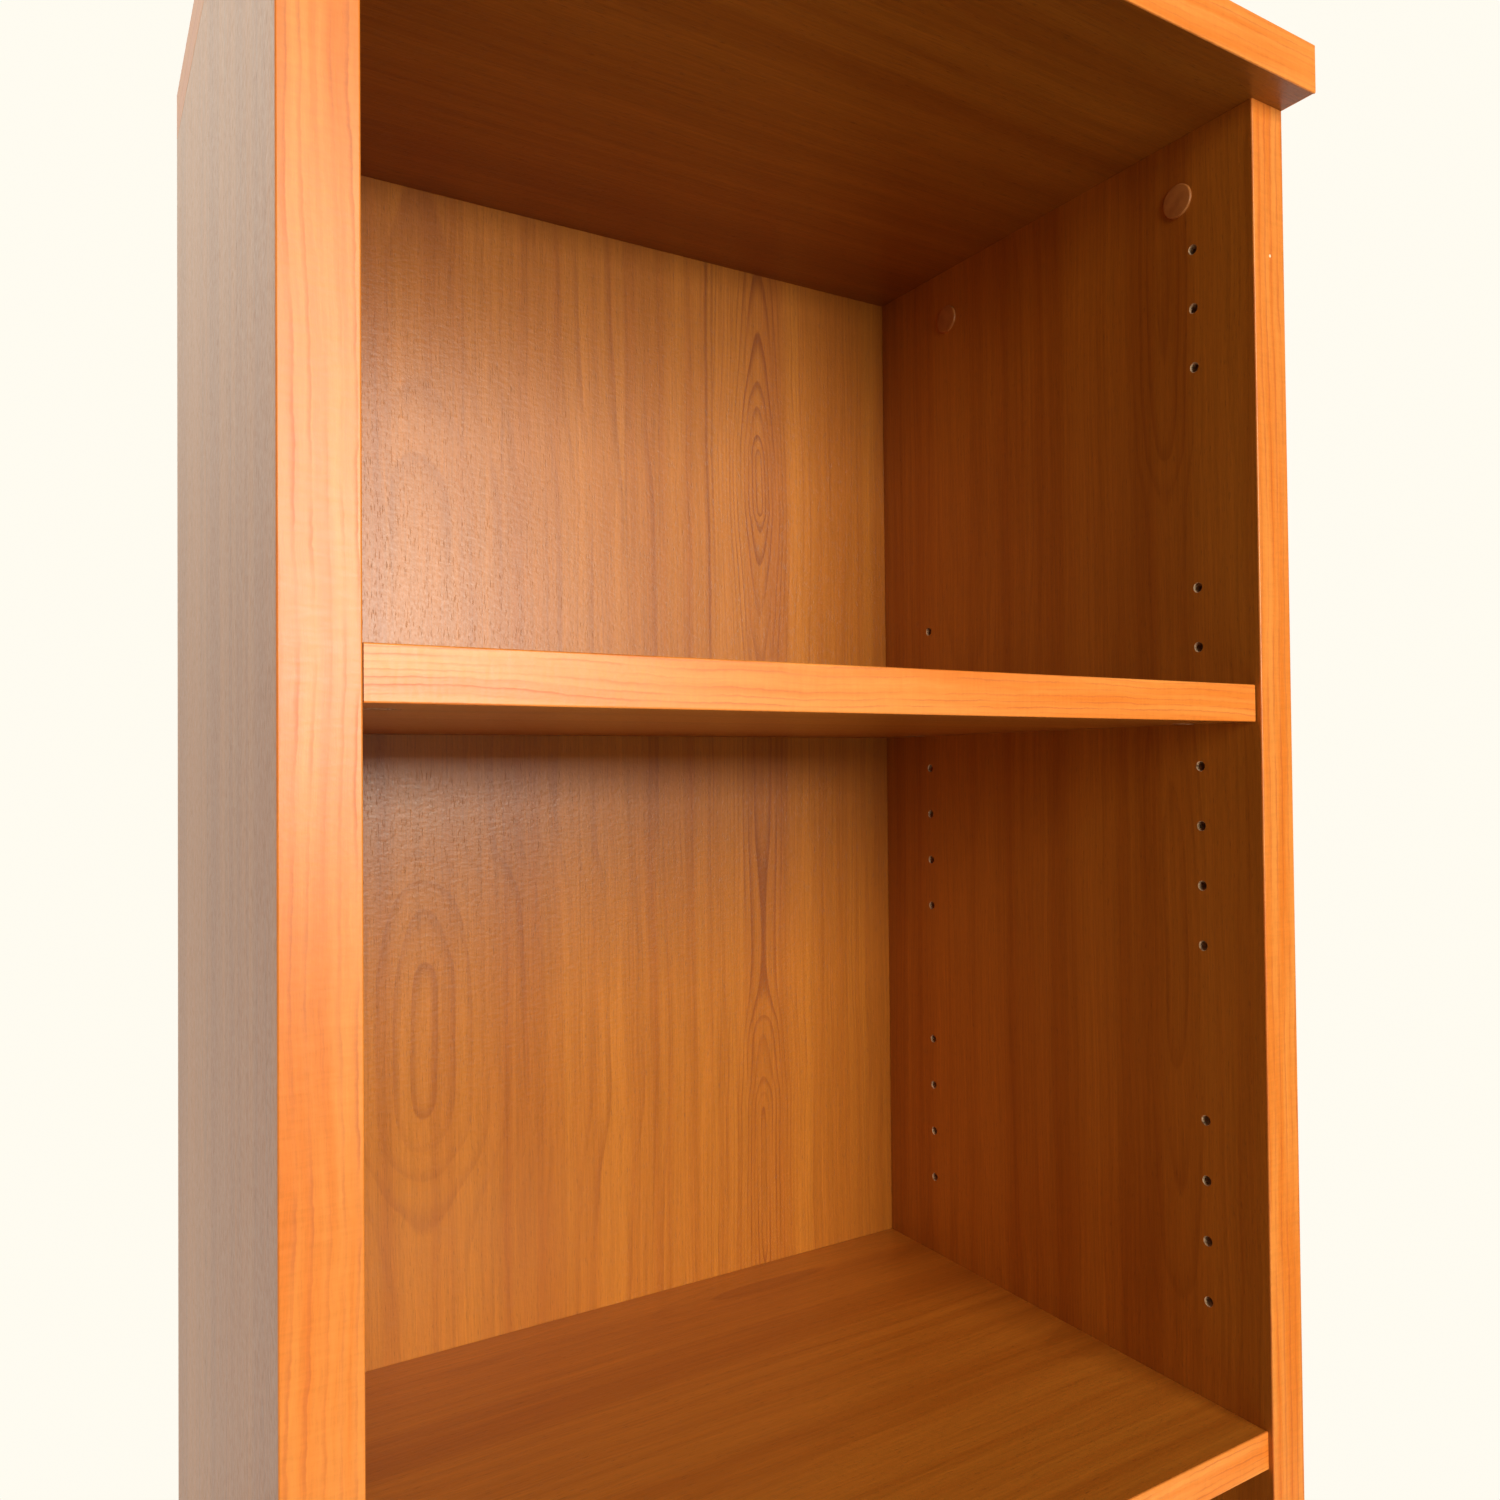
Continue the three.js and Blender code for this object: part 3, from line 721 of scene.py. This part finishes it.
def faced_board(node, suffix, across, along, hearts, seed, **look):
    """A board on its CAD box: laminate on its two broad faces, bare particle board on its edges."""
    low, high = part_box(node)
    through = AXES.index(third_axis(across, along))
    laminated = laminate(f"laminate_{node}", across, along, hearts, seed, **look)

    def face_material(normal):
        return 0 if abs(normal[through]) > 0.5 else 1

    board = block(f"{node}_{suffix}", low, high, [laminated, CORE], face_material)
    ease(board, ARRIS)
    return board


def side_board(side, sign, hearts, seed):
    node = f"{side}_side"
    low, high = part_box(node)
    inner = low.x if sign > 0 else high.x
    board = faced_board(node, "board", "Y", "Z", hearts, seed)

    drilled = bmesh.new()
    for mouth, radius, depth in holes_in(node, "X", inner):
        drill(drilled, mouth, (sign, 0, 0), radius, depth, point=0.4 * radius)
    grooves(drilled, inner, sign, high)
    bored = bmesh.new()
    for mouth, radius, depth in holes_in(node, "Z", high.z):
        drill(bored, mouth, (0, 0, -1), radius, depth + 4 * MM, sides=28)
    carve(board, drilled, bored)
    settle(board, [node], "cabinet")


def grooves(bm, inner, sign, high):
    """The groove that holds the back panel, and the housing for the kick plate's end."""
    spare = 0.5 * MM
    over = 1 * MM
    front, rear = PANEL_LOW.y, PANEL_HIGH.y + spare
    bottom = sign * PANEL_HIGH.x + sign * spare
    mouth = inner - sign * over
    flare = GROOVE_FLARE
    outline = [
        (mouth, front - flare),
        (inner, front - flare),
        (inner + sign * flare, front),
        (bottom, front),
        (bottom, rear),
        (inner + sign * flare, rear),
        (inner, rear + flare),
        (mouth, rear + flare),
    ]
    prism(bm, outline, "Z", -over, high.z + over)
    kick_low, kick_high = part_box("kick_plate")
    deep = sign * kick_high.x + sign * spare
    housing = [
        (mouth, kick_low.y),
        (deep, kick_low.y),
        (deep, kick_high.y),
        (mouth, kick_high.y),
    ]
    prism(bm, housing, "Z", -over, kick_high.z)


side_board("left", -1, LEFT_HEARTS, seed=31.0)
side_board("right", 1, RIGHT_HEARTS, seed=77.0)


def top_board(seed):
    low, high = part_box("top_board")
    hearts = [
        (-30.0, 9.0, [(-250, 6.0), (-140, 4.4), (-20, 3.0), (60, 3.4), (130, 4.6), (250, 6.6)]),
        (104.0, 6.0, [(-250, 4.6), (-60, 5.2), (120, 4.4), (250, 5.0)]),
    ]
    # Painted shade: the whole top board, upper face too, is darkened by the factor 0.72, standing in for
    # the dim light under it. It is the same laminate as the sides.
    board = faced_board("top_board", "panel", "Y", "X", hearts, seed, figure=0.35, tint=0.72)
    cutter = bmesh.new()
    for mouth, radius, depth in holes_in("top_board", "Z", low.z):
        drill(cutter, mouth, (0, 0, 1), radius, depth, sides=24)
    spare = 0.5 * MM
    over = 1 * MM
    reach = PANEL_HIGH.x + spare
    flare = GROOVE_FLARE
    front, rear = PANEL_LOW.y, PANEL_HIGH.y + spare
    deep = PANEL_HIGH.z + spare
    outline = [
        (front - flare, low.z - over),
        (front - flare, low.z),
        (front, low.z + flare),
        (front, deep),
        (rear, deep),
        (rear, low.z + flare),
        (rear + flare, low.z),
        (rear + flare, low.z - over),
    ]
    prism(cutter, outline, "X", -reach, reach)
    carve(board, cutter)
    settle(board, ["top_board"], "cabinet")


def fixed_shelf(node, seed):
    low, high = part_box(node)
    # Painted light: the fixed shelves are brightened by the factor 1.08, standing in for light the lamps
    # don't give them.
    board = faced_board(node, "board", "Y", "X", shelf_hearts(seed % 13), seed, tint=1.08)
    bored = bmesh.new()
    for mouth, radius, depth in holes_in(node, "Z", low.z):
        drill(bored, mouth, (0, 0, 1), radius, depth)
    crossed = bmesh.new()
    for level, direction in ((low.x, 1), (high.x, -1)):
        for mouth, radius, depth in holes_in(node, "X", level):
            drill(crossed, mouth, (direction, 0, 0), radius, depth + 4 * MM, sides=28)
    carve(board, bored, crossed)
    settle(board, [node], "cabinet")


def loose_shelf(node, seed):
    low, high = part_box(node)
    # Painted shade: the loose shelves are darkened by the factor 0.8, standing in for shade the lamps
    # don't give them.
    board = faced_board(node, "board", "Y", "X", shelf_hearts(seed % 17), seed, tint=0.8)
    corners = corners_of(node)
    inside = [
        p for p in corners if abs(p.z - low.z) < 1e-5 and abs(p.x) < high.x - MM and low.y < p.y < high.y
    ]
    closed_end = min(abs(p.x) for p in inside)
    roof = max(p.z for p in corners if p.z < high.z - MM)
    cutter = bmesh.new()
    half = SLOT_WIDTH / 2
    for side, sign in (("left", -1), ("right", 1)):
        for place in ("front", "rear"):
            pin_low, pin_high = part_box(f"{node}_pin_{place}_{side}")
            y = (pin_low.y + pin_high.y) / 2
            centre = closed_end + half
            turns = [math.pi * (0.5 + k / 12) for k in range(13)]
            outline = [(sign * (centre + half * math.cos(t)), y + half * math.sin(t)) for t in turns]
            outline += [(sign * (high.x + MM), y - half), (sign * (high.x + MM), y + half)]
            prism(cutter, outline, "Z", low.z - MM, roof)
    carve(board, cutter)
    settle(board, [node], node)


def back_panel(seed):
    laminated = laminate(
        "laminate_back_panel",
        "X",
        "Z",
        BACK_HEARTS,
        seed,
        figure=1.0,
        bold=[(71.5, 2.0, 0.75, 1440.0), (75.5, 1.5, 0.55, 1500.0)],
    )
    panel = block(
        "back_panel_sheet",
        PANEL_LOW,
        PANEL_HIGH,
        [laminated, HARDBOARD],
        lambda normal: 0 if normal.y < -0.5 else 1,
    )
    ease(panel, 0.15 * MM, segments=1)
    settle(panel, ["back_panel"], "cabinet")


def kick_plate(seed):
    hearts = [(30.0, 5.0, [(-250, 5.0), (0, 2.0), (90, 0.4), (250, 4.0)])]
    board = faced_board("kick_plate", "board", "Z", "X", hearts, seed)
    settle(board, ["kick_plate"], "cabinet")


top_board(seed=12.0)
fixed_shelf("fixed_shelf", seed=203.0)
fixed_shelf("bottom_shelf", seed=251.0)
for number, shelf in enumerate(LOOSE_SHELVES):
    loose_shelf(shelf, seed=301.0 + 61.0 * number)
back_panel(seed=5.0)
kick_plate(seed=441.0)

# ---- Edge bands ----


def edge_band(node, outward, material, body="cabinet"):
    """A strip with its outer long corners rounded. Outward is the sign and axis of its shown face."""
    axis, sign = AXES.index(outward[-1]), -1 if outward[0] == "-" else 1
    low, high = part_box(node)
    band = block(f"{node}_strip", low, high, [material])
    face = high[axis] if sign > 0 else low[axis]
    size = high - low
    length = max(range(3), key=lambda k: size[k])

    def outer_long_corner(a, b):
        on_face = abs(a[axis] - face) < 1e-6 and abs(b[axis] - face) < 1e-6
        return on_face and abs(a[length] - b[length]) > 1e-4

    ease(band, BAND_ROUNDING, segments=4, chosen=outer_long_corner)
    settle(band, [node], body)


# Worn spots on the bands' faces.
NICKS = {
    "right": [(235.0, 1726.0, 0.9)],
    "upper_shelf": [(25.0, 1485.2, 0.9), (-187.0, 1485.0, 0.6)],
}
for side, seed in (("left", 3.0), ("right", 14.0)):
    worn = NICKS.get(side, ())
    # Painted shade: the upright bands are darkened by the factor 0.94, standing in for shade the lamps
    # don't give them.
    upright = edge_banding(f"band_{side}_side", "X", "Z", seed, pitch=4.8, tint=0.94, nicks=worn)
    edge_band(f"{side}_side_edge_band", "-Y", upright)
    end = edge_banding(f"band_top_{side}", "Z", "Y", seed + 40.0, pitch=3.6)
    edge_band(f"top_board_{side}_edge_band", "-X" if side == "left" else "+X", end)
edge_band("top_board_front_edge_band", "-Y", edge_banding("band_top_front", "Z", "X", 21.0, pitch=3.4))
for number, shelf in enumerate(FIXED_SHELVES + LOOSE_SHELVES):
    worn = NICKS.get(shelf, ())
    level = edge_banding(f"band_{shelf}", "Z", "X", 55.0 + 9.0 * number, pitch=2.9, nicks=worn)
    edge_band(f"{shelf}_edge_band", "-Y", level, shelf if shelf in frame["bodies"] else "cabinet")

# ---- Fittings ----


def turned_piece(name, profile, place, material, sides=ROUND_SIDES):
    bm = bmesh.new()
    lathe(bm, profile, sides, place)
    bmesh.ops.recalc_face_normals(bm, faces=bm.faces)
    mesh = bpy.data.meshes.new(name)
    bm.to_mesh(mesh)
    bm.free()
    return new_object(name, mesh, [material])


def rounded(radius, height, rounding, steps=4):
    """The outer corner of a turned profile, from its side to its top."""
    turns = [math.pi / 2 * k / steps for k in range(steps + 1)]
    return [
        (radius - rounding * (1 - math.cos(t)), height - rounding * (1 - math.sin(t))) for t in turns
    ]


def shelf_pin(node):
    """A plain steel pin with chamfered ends and a shallow grip groove near its middle."""
    low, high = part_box(node)
    radius = (high.z - low.z) / 2
    length = high.x - low.x
    middle = length * 0.46
    profile = [(0, 0), (radius - 0.5 * MM, 0), (radius, 0.5 * MM)]
    profile += [(radius, middle - 0.5 * MM), (radius - 0.15 * MM, middle - 0.35 * MM)]
    profile += [(radius - 0.15 * MM, middle + 0.35 * MM), (radius, middle + 0.5 * MM)]
    profile += [(radius, length - 0.5 * MM), (radius - 0.5 * MM, length), (0, length)]
    centre = (low + high) / 2
    place = facing((low.x, centre.y, centre.z), (1, 0, 0))
    pin = turned_piece(f"{node}_steel", profile, place, STEEL)
    settle(pin, [node], node)


def cover_cap(node, side):
    """A low domed cap with a rounded rim and the peg that holds it in its cam."""
    low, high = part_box(node)
    sign = 1 if side == "right" else -1
    seat = SIDE_INNER * sign
    radius = (high.z - low.z) / 2
    shown = abs((low.x if sign > 0 else high.x) - seat)
    peg = high.x - low.x - shown
    centre = (low + high) / 2
    profile = [(0, -peg), (1.5 * MM, -peg), (1.8 * MM, 0.3 * MM - peg), (1.8 * MM, 0), (radius, 0)]
    profile += rounded(radius, shown - 0.15 * MM, 0.8 * MM)
    profile += [(radius * 0.6, shown - 0.04 * MM), (radius * 0.3, shown - 0.01 * MM), (0, shown)]
    place = facing((seat, centre.y, centre.z), (-sign, 0, 0))
    cap = turned_piece(f"{node}_moulding", profile, place, CAP, sides=56)
    settle(cap, [node], "cabinet")


def cam(node, inward, toward_bolt):
    """A die-cast cam: a drum with a cross recess, an arrow to its bolt, and the pocket behind them."""
    low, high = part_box(node)
    inward, toward_bolt = Vector(inward), Vector(toward_bolt)
    size = high - low
    axis = max(range(3), key=lambda k: abs(inward[k]))
    length, radius = size[axis], (size[(axis + 1) % 3] + size[(axis + 2) % 3]) / 4
    face = (low + high) / 2 - inward * length / 2
    turn = Matrix((toward_bolt, inward.cross(toward_bolt), inward)).transposed().to_4x4()
    place = Matrix.Translation(face) @ turn
    profile = [(0, 0), (radius - 0.4 * MM, 0), (radius, 0.4 * MM), (radius, length), (0, length)]
    drum = turned_piece(f"{node}_casting", profile, Matrix.Identity(4), ZINC)
    bolt_axis = length - 3 * MM

    def box(x, y, z):
        bm = bmesh.new()
        prism(bm, [(y[0], z[0]), (y[1], z[0]), (y[1], z[1]), (y[0], z[1])], "X", x[0], x[1])
        return bm

    recess = 2.2 * MM
    arm, slim = 3.1 * MM, 0.55 * MM
    sunk = (-MM, recess)
    pocket = 4 * MM
    neck = 2.5 * MM
    arrow = bmesh.new()
    prism(
        arrow,
        [(4.2 * MM, -1.2 * MM), (5.9 * MM, 0), (4.2 * MM, 1.2 * MM)],
        "Z",
        -MM,
        0.35 * MM,
    )
    cone = bmesh.new()
    lathe(cone, [(0, -MM), (1.5 * MM, -MM), (1.5 * MM, 0), (0, 3.2 * MM)], 24, Matrix.Identity(4))
    carve(
        drum,
        box((-arm, arm), (-slim, slim), sunk),
        box((-slim, slim), (-arm, arm), sunk),
        cone,
        arrow,
        box((-pocket, pocket), (-pocket, pocket), (bolt_axis - pocket, bolt_axis + pocket)),
        box((-neck, radius + MM), (-neck, neck), (bolt_axis - neck, bolt_axis + neck)),
    )
    drum.data.materials.clear()
    drum.data.materials.append(ZINC)
    for polygon in drum.data.polygons:
        polygon.material_index = 0
    drum.data.transform(place)
    settle(drum, [node], "cabinet")


for shelf in LOOSE_SHELVES:
    for place in ("front_left", "rear_left", "front_right", "rear_right"):
        shelf_pin(f"{shelf}_pin_{place}")
for side, sign in (("left", -1), ("right", 1)):
    for place in ("front", "rear"):
        cover_cap(f"top_board_cam_cap_{place}_{side}", side)
        cam(f"top_board_cam_{place}_{side}", (sign, 0, 0), (0, 0, 1))
        for shelf in FIXED_SHELVES:
            cam(f"{shelf}_cam_{place}_{side}", (0, 0, 1), (sign, 0, 0))
for name, node in frame["nodes"].items():
    if "_cam_bolt_" in name:
        node.data.materials.clear()
        node.data.materials.append(STEEL)

# ---- Floor, light and camera ----


def add_light(name, place, target, size, watts, colour):
    """A soft rectangular light that faces a point."""
    lamp = bpy.data.lights.new(name, "AREA")
    lamp.shape = "RECTANGLE"
    lamp.size, lamp.size_y = size
    lamp.energy, lamp.color = watts, colour
    holder = bpy.data.objects.new(name, lamp)
    bpy.context.scene.collection.objects.link(holder)
    holder.location = place
    holder.rotation_mode = "QUATERNION"
    holder.rotation_quaternion = (Vector(target) - Vector(place)).to_track_quat("-Z", "Y")


def direction(azimuth, elevation):
    """The unit vector from the open front out to a light. Azimuth turns from -Y toward +X."""
    a, e = math.radians(azimuth), math.radians(elevation)
    return Vector((math.sin(a) * math.cos(e), -math.cos(a) * math.cos(e), math.sin(e)))


def world_light():
    """Pale surroundings: bright behind the bookcase, dim in front, brighter overhead."""
    world = bpy.data.worlds.new("studio")
    bpy.context.scene.world = world
    world.use_nodes = True
    tree = world.node_tree
    tree.nodes.clear()

    def node(kind, inputs=(), **settings):
        made = tree.nodes.new(kind)
        for key, value in settings.items():
            setattr(made, key, value)
        for key, value in dict(inputs).items():
            if isinstance(value, bpy.types.NodeSocket):
                tree.links.new(value, made.inputs[key])
            else:
                made.inputs[key].default_value = value
        return made

    ray = node("ShaderNodeTexCoord").outputs["Generated"]
    split = node("ShaderNodeSeparateXYZ", {0: ray})
    behind = node(
        "ShaderNodeMapRange", {0: split.outputs["Y"], 1: -0.1, 2: 0.5}, interpolation_type="SMOOTHSTEP"
    ).outputs[0]
    above = node(
        "ShaderNodeMapRange", {0: split.outputs["Z"], 1: -0.1, 2: 0.75}, interpolation_type="SMOOTHSTEP"
    ).outputs[0]
    front = node("ShaderNodeMix", {"Factor": above, 6: FRONT_LOW, 7: FRONT_HIGH}, data_type="RGBA")
    wall = node("ShaderNodeMix", {"Factor": above, 6: BEHIND_LOW, 7: BEHIND_HIGH}, data_type="RGBA")
    rays = {"Factor": behind, 6: front.outputs[2], 7: wall.outputs[2]}
    room = node("ShaderNodeMix", rays, data_type="RGBA")
    lit = node("ShaderNodeBackground", {"Color": room.outputs[2], "Strength": 1.0})
    seen = node("ShaderNodeBackground", {"Color": BACKDROP, "Strength": 1.0})
    camera_ray = node("ShaderNodeLightPath").outputs["Is Camera Ray"]
    both = node("ShaderNodeMixShader", {0: camera_ray, 1: lit.outputs[0], 2: seen.outputs[0]})
    node("ShaderNodeOutputWorld", {"Surface": both.outputs[0]})


FRONT_LOW = rgb(0.03, 0.027, 0.022)
FRONT_HIGH = rgb(0.14, 0.13, 0.115)
BEHIND_LOW = rgb(0.90, 0.82, 0.70)
BEHIND_HIGH = rgb(1.75, 1.58, 1.32)
BACKDROP = rgb(1.0, 0.97, 0.875)

world_light()
AIM = Vector((0.0, PANEL_LOW.y, 1.45))
LIGHT_DISTANCE = 4.0
KEY_COLOUR = (1.0, 0.95, 0.84)

# Each soft light in front, as low and high azimuth, low and high elevation, and watts.
SOFT_LIGHTS = {
    "key_left": ((-12.0, 2.0), (2.6, 8.2), 12.0),
    "key_right": ((2.0, 19.0), (2.6, 8.2), 65.0),
    "upper_fill": ((-18.0, 16.0), (8.5, 27.0), 97.0),
    "lower_fill": ((-24.0, 8.0), (-12.0, 2.0), 14.0),
}


def soft_light(name, azimuths, elevations, watts):
    """A soft light that fills a patch of the view out of the open front."""

    def spread(low, high):
        return 2 * LIGHT_DISTANCE * math.tan(math.radians(high - low) / 2)

    middle = direction(sum(azimuths) / 2, sum(elevations) / 2)
    size = (spread(*azimuths), spread(*elevations))
    add_light(name, AIM + LIGHT_DISTANCE * middle, AIM, size, watts, KEY_COLOUR)


for name, facts in SOFT_LIGHTS.items():
    soft_light(name, *facts)

FLOOR_RADIUS = 2.0
FLOOR_DROP = 0.5 * MM  # below the sides' feet, so that no faces coincide

bm = bmesh.new()
bmesh.ops.create_circle(bm, cap_ends=True, segments=96, radius=FLOOR_RADIUS)
floor_mesh = bpy.data.meshes.new("floor")
bm.to_mesh(floor_mesh)
bm.free()
floor = new_object("floor", floor_mesh, [floor_paint()])
floor.location.z = -FLOOR_DROP

# A standing person's view into the upper bays from the front left. Angles are in degrees.
EYE = (-0.30325, -0.51426, 1.46299)
YAW, PITCH, ROLL = 31.22, 1.064, -0.027
lens = bpy.data.cameras.new("camera")
lens.lens, lens.sensor_width = 27.53, 36.0
lens.clip_start, lens.clip_end = 0.02, 60.0
camera = bpy.data.objects.new("camera", lens)
bpy.context.scene.collection.objects.link(camera)
turn = (
    Matrix.Rotation(math.radians(ROLL), 4, "Y")
    @ Matrix.Rotation(math.radians(PITCH), 4, "X")
    @ Matrix.Rotation(math.radians(-YAW), 4, "Z")
    @ Matrix.Rotation(math.radians(90), 4, "X")
)
camera.matrix_world = Matrix.Translation(EYE) @ turn
bpy.context.scene.camera = camera
bpy.context.scene.view_settings.view_transform = "Standard"

bpy.context.view_layer.update()
